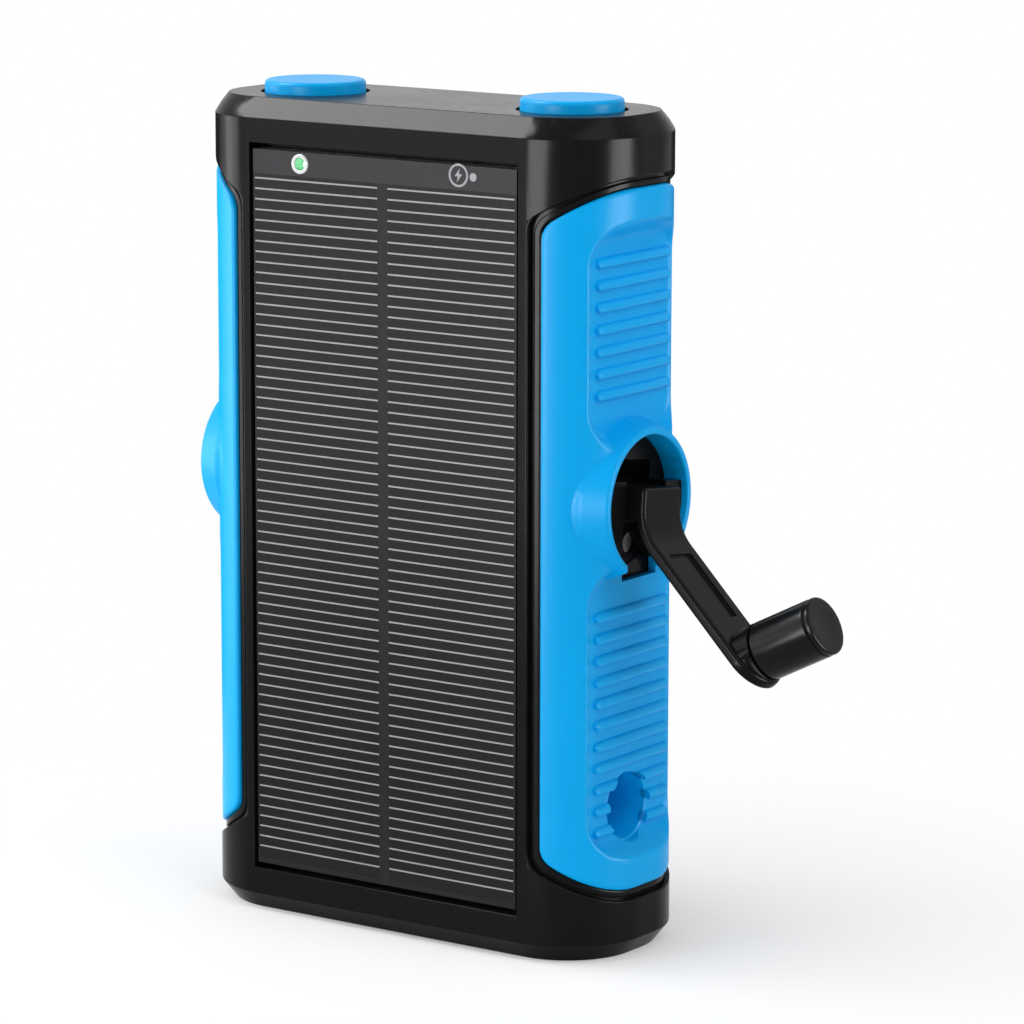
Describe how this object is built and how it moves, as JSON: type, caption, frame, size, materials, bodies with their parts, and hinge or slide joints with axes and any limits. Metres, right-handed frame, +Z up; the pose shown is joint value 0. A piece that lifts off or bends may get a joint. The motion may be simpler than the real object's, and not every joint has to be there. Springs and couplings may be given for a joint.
{
  "type": "hand crank generator",
  "caption": "Upright pocket power bank with a solar panel, ribbed side grips, top push buttons and a fold-out hand crank that turns a small geared generator.",
  "frame": {"origin": "middle of the flat bottom face that the case stands on", "axes": "+X towards the crank side, -Y out of the solar panel, +Z up"},
  "size_m": [0.1392, 0.0388, 0.1623],
  "materials": {
    "case_black": "satin",
    "grip_blue": "satin",
    "crank_black": "satin",
    "knob_black": "gloss",
    "panel_clear": "gloss",
    "solar_silicon": "satin",
    "panel_laminate": "satin",
    "foam_tape": "matte",
    "seal_rubber": "matte",
    "steel": "brushed",
    "gear_nylon": "satin",
    "bush_brass": "satin",
    "copper": "satin",
    "ferrite": "matte",
    "inner_plastic": "matte",
    "plunger_plastic": "satin",
    "board_green": "gloss",
    "capacitor_can": "satin",
    "cell_wrap": "gloss",
    "nickel": "satin",
    "lamp_ring": "polished",
    "lamp_green": "gloss"
  },
  "bodies": {
    "case": {"main_case": "case_black", "grip_right": "grip_blue", "grip_left": "grip_blue", "grip_screws": "steel", "panel_tape": "foam_tape", "panel_board": "panel_laminate", "solar_cell_left": "solar_silicon", "solar_cell_right": "solar_silicon", "panel_window": "panel_clear", "status_led_ring": "lamp_ring", "status_led_lens": "lamp_green", "back_cover": "case_black", "case_seal": "seal_rubber", "back_cover_screws": "steel", "button_board": "board_green", "crank_bush": "bush_brass", "idler_shaft": "steel", "gearbox_front_plate": "gear_nylon", "gearbox_rear_plate": "steel", "gearbox_spacers": "steel", "gearbox_screws": "steel", "generator_can": "steel", "generator_magnets": "ferrite", "generator_end_cap": "inner_plastic", "generator_brushes": "ferrite", "battery_holder": "inner_plastic", "cell_contacts": "nickel", "main_board": "board_green", "board_screws": "steel", "usb_a_socket": "steel", "usb_c_socket": "steel", "board_coil": "ferrite", "board_capacitors": "capacitor_can", "switch_body_left": "inner_plastic", "switch_body_right": "inner_plastic", "battery_cell_1": "cell_wrap", "battery_cell_2": "cell_wrap", "battery_cell_3": "cell_wrap"},
    "hub": {"crank_hub": "crank_black", "hub_shaft": "steel", "hub_screws": "steel", "hinge_pin": "steel", "drive_gear": "gear_nylon", "drive_gear_clip": "steel"},
    "arm": {"crank_arm": "crank_black", "knob_axle": "steel"},
    "hand_knob": {"knob": "knob_black", "knob_cap": "knob_black"},
    "idler": {"idler_gear": "gear_nylon"},
    "rotor": {"rotor_shaft": "steel", "rotor_core": "steel", "commutator": "copper", "rotor_pinion": "bush_brass"},
    "left_button": {"button_left": "grip_blue", "switch_plunger_left": "plunger_plastic"},
    "right_button": {"button_right": "grip_blue", "switch_plunger_right": "plunger_plastic"}
  },
  "joints": [
    {"name": "hub_spin", "type": "hinge", "parent": "case", "child": "hub", "pos_m": [0.04, 0, 0.087], "axis": [1, 0, 0], "continuous": true},
    {"name": "arm_fold", "type": "hinge", "parent": "hub", "child": "arm", "pos_m": [0.0436, -0.00005, 0.0866], "axis": [0, -0.9925, 0.1219], "range_deg": [-16, 64]},
    {"name": "knob_spin", "type": "hinge", "parent": "arm", "child": "hand_knob", "pos_m": [0.07582, -0.003, 0.06257], "axis": [0.8894, 0.0557, 0.4537], "continuous": true},
    {"name": "idler_spin", "type": "hinge", "parent": "case", "child": "idler", "pos_m": [0.0265, 0, 0.1032], "axis": [1, 0, 0], "continuous": true},
    {"name": "rotor_spin", "type": "hinge", "parent": "case", "child": "rotor", "pos_m": [0.01, 0, 0.1194], "axis": [1, 0, 0], "continuous": true},
    {"name": "left_button_press", "type": "slide", "parent": "case", "child": "left_button", "axis": [0, 0, -1], "range_m": [0, 0.0008], "stiffness_N_per_m": 1500},
    {"name": "right_button_press", "type": "slide", "parent": "case", "child": "right_button", "axis": [0, 0, -1], "range_m": [0, 0.0008], "stiffness_N_per_m": 1500}
  ],
  "couplings": [
    {"joint": "idler_spin", "follows": "hub_spin", "ratio": -3.5},
    {"joint": "rotor_spin", "follows": "hub_spin", "ratio": 12.25}
  ]
}
